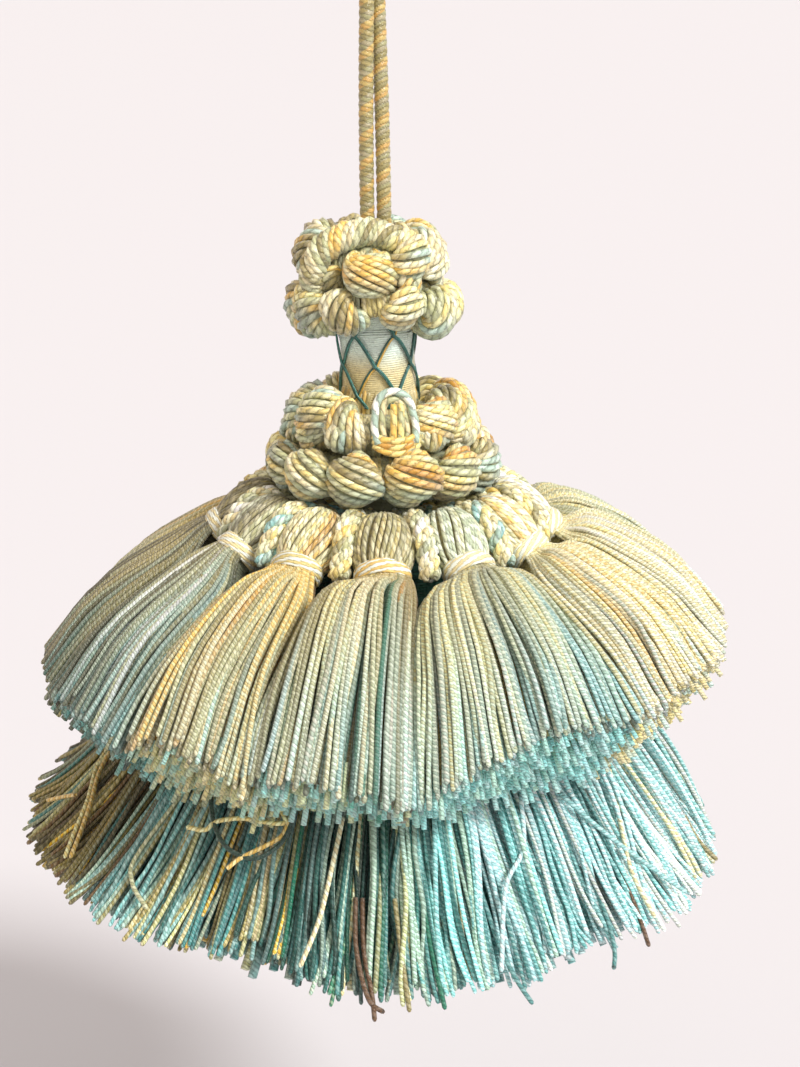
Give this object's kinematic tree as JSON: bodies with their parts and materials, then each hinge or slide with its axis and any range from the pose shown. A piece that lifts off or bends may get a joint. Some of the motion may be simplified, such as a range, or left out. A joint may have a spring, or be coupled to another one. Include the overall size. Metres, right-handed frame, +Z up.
{
  "type": "tassel",
  "caption": "Two-tier thread tassel with looped cord ruffs, a bound neck under a thread net, bound tufts over a flared skirt, and a doubled hanging cord.",
  "frame": {"origin": "top of the doubled hanging cord's loop, where the tassel hangs from a key, handle or hook", "axes": "+Z up along the hanging cord, -Y towards the front tuft, +X to the right as seen from the front"},
  "size_m": [0.0881, 0.0873, 0.121],
  "materials": {
    "cord_yarn": "silky twisted yarn",
    "ruff_yarn": "silky twisted yarn",
    "neck_floss": "silky wound floss",
    "net_thread": "fine dark teal thread",
    "binding_thread": "silky wound thread",
    "rope_yarn": "silky twisted yarn",
    "tuft_olive": "silky twisted yarn",
    "tuft_sage": "silky twisted yarn",
    "tuft_yellow": "silky twisted yarn",
    "tuft_teal": "silky twisted yarn",
    "skirt_thread": "silky twisted yarn"
  },
  "bodies": {
    "root": {"hanging_cord": "cord_yarn", "neck": "neck_floss", "neck_net": "net_thread", "ruff_top_upper": "ruff_yarn", "ruff_top_lower": "ruff_yarn", "ruff_low_upper": "ruff_yarn", "ruff_low_lower": "ruff_yarn", "tuft_00": "tuft_olive", "binding_00": "binding_thread", "rope_00": "rope_yarn", "tuft_01": "tuft_sage", "binding_01": "binding_thread", "rope_01": "rope_yarn", "tuft_02": "tuft_yellow", "binding_02": "binding_thread", "rope_02": "rope_yarn", "tuft_03": "tuft_teal", "binding_03": "binding_thread", "rope_03": "rope_yarn", "tuft_04": "tuft_olive", "binding_04": "binding_thread", "rope_04": "rope_yarn", "tuft_05": "tuft_sage", "binding_05": "binding_thread", "rope_05": "rope_yarn", "tuft_06": "tuft_yellow", "binding_06": "binding_thread", "rope_06": "rope_yarn", "tuft_07": "tuft_teal", "binding_07": "binding_thread", "rope_07": "rope_yarn", "tuft_08": "tuft_olive", "binding_08": "binding_thread", "rope_08": "rope_yarn", "tuft_09": "tuft_sage", "binding_09": "binding_thread", "rope_09": "rope_yarn", "tuft_10": "tuft_yellow", "binding_10": "binding_thread", "rope_10": "rope_yarn", "tuft_11": "tuft_teal", "binding_11": "binding_thread", "rope_11": "rope_yarn", "skirt": "skirt_thread"}
  },
  "joints": []
}
